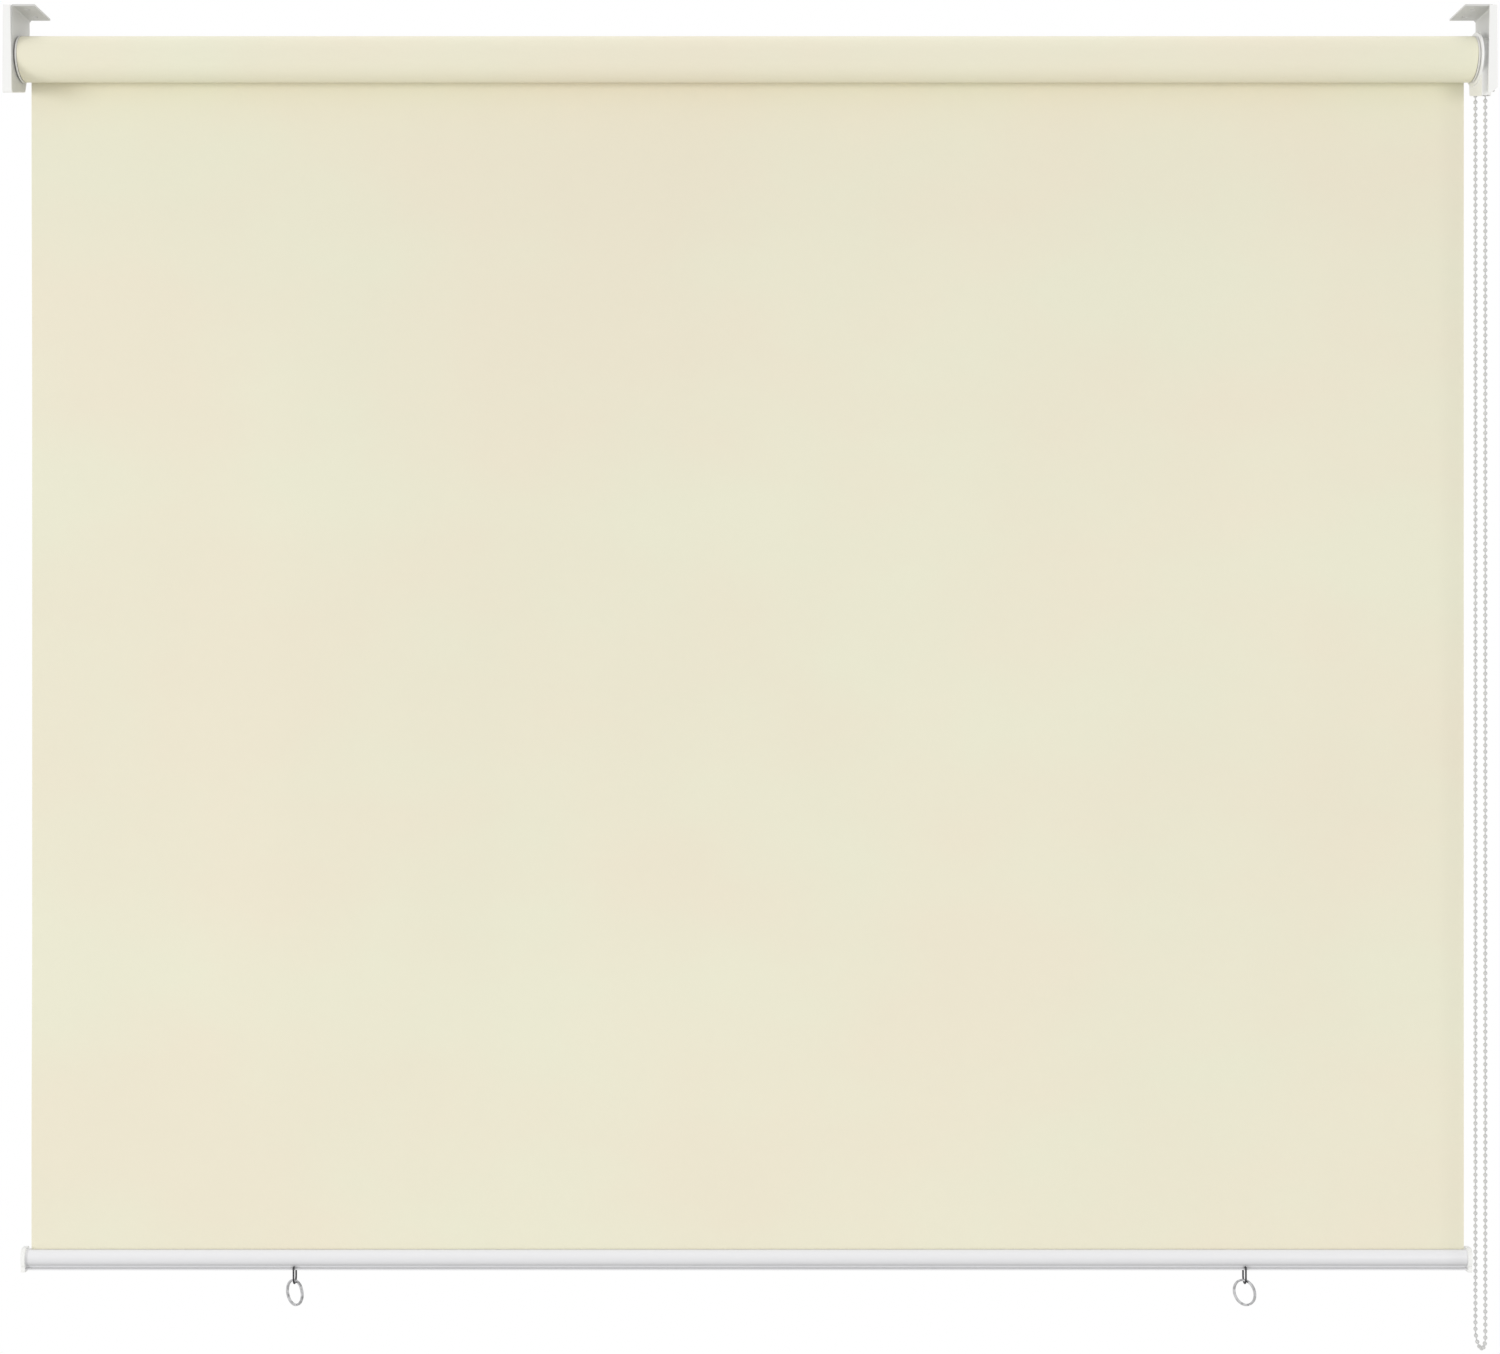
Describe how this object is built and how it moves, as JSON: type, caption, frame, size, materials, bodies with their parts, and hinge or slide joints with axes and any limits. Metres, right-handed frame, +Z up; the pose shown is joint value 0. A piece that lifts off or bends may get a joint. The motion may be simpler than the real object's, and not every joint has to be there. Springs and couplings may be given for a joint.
{
  "type": "outdoor roller blind",
  "caption": "Chain-operated outdoor roller blind: cream fabric on a tube between ceiling brackets, with a weighted bottom rail and tie-down rings.",
  "frame": {"origin": "middle of the four ceiling screw holes, on the plane of the ceiling and over the roller's axis", "axes": "+X along the roller towards the chain side, +Y from the room side to the wall side, +Z up"},
  "size_m": [1.6, 0.0638, 1.4486],
  "materials": {
    "coated_steel": "satin",
    "white_plastic": "satin",
    "nylon": "matte",
    "cream_fabric": "matte",
    "tube_aluminium": "satin",
    "rail_aluminium": "satin",
    "bright_steel": "satin",
    "chain_plastic": "satin",
    "chrome": "polished"
  },
  "bodies": {
    "brackets": {"left_bracket": "coated_steel", "right_bracket": "coated_steel", "left_cover": "white_plastic", "right_cover": "white_plastic", "pin_bush": "nylon", "clutch_housing": "white_plastic", "clutch_core": "nylon", "core_washer": "bright_steel", "core_screw": "bright_steel", "bead_chain": "chain_plastic", "fabric_drop": "cream_fabric"},
    "roller": {"roller_tube": "tube_aluminium", "fabric_roll": "cream_fabric", "tube_cord": "nylon", "idle_plug": "nylon", "plug_cap": "nylon", "pin_spring": "bright_steel", "drive_wheel": "nylon", "brake_springs": "bright_steel", "tube_adapter": "nylon"},
    "spring_pin": {"idle_pin": "bright_steel"},
    "rail": {"bottom_rail": "rail_aluminium", "rail_cord": "nylon", "left_rail_cap": "white_plastic", "right_rail_cap": "white_plastic", "left_eye": "chrome", "right_eye": "chrome"},
    "tie_ring_left": {"left_ring": "chrome"},
    "tie_ring_right": {"right_ring": "chrome"}
  },
  "joints": [
    {"name": "roller_turn", "type": "hinge", "parent": "brackets", "child": "roller", "pos_m": [0, 0, -0.052], "axis": [1, 0, 0], "range_deg": [0, 2622.86], "deforming": ["bead_chain"]},
    {"name": "rail_lift", "type": "slide", "parent": "brackets", "child": "rail", "axis": [0, 0, 1], "range_m": [0, 1.22], "deforming": ["fabric_drop"]},
    {"name": "pin_slide", "type": "slide", "parent": "roller", "child": "spring_pin", "axis": [1, 0, 0], "range_m": [0, 0.0085], "stiffness_N_per_m": 800, "springref_m": -0.005, "deforming": ["pin_spring"]},
    {"name": "left_ring_swing", "type": "hinge", "parent": "rail", "child": "tie_ring_left", "pos_m": [-0.498, 0.0243, -1.3804], "axis": [0.7431, -0.6691, 0], "range_deg": [-60, 60]},
    {"name": "right_ring_swing", "type": "hinge", "parent": "rail", "child": "tie_ring_right", "pos_m": [0.541, 0.0243, -1.3804], "axis": [0.682, -0.7314, 0], "range_deg": [-60, 60]}
  ],
  "couplings": [
    {"joint": "rail_lift", "follows": "roller_turn", "m_per_rad": 0.02665}
  ]
}
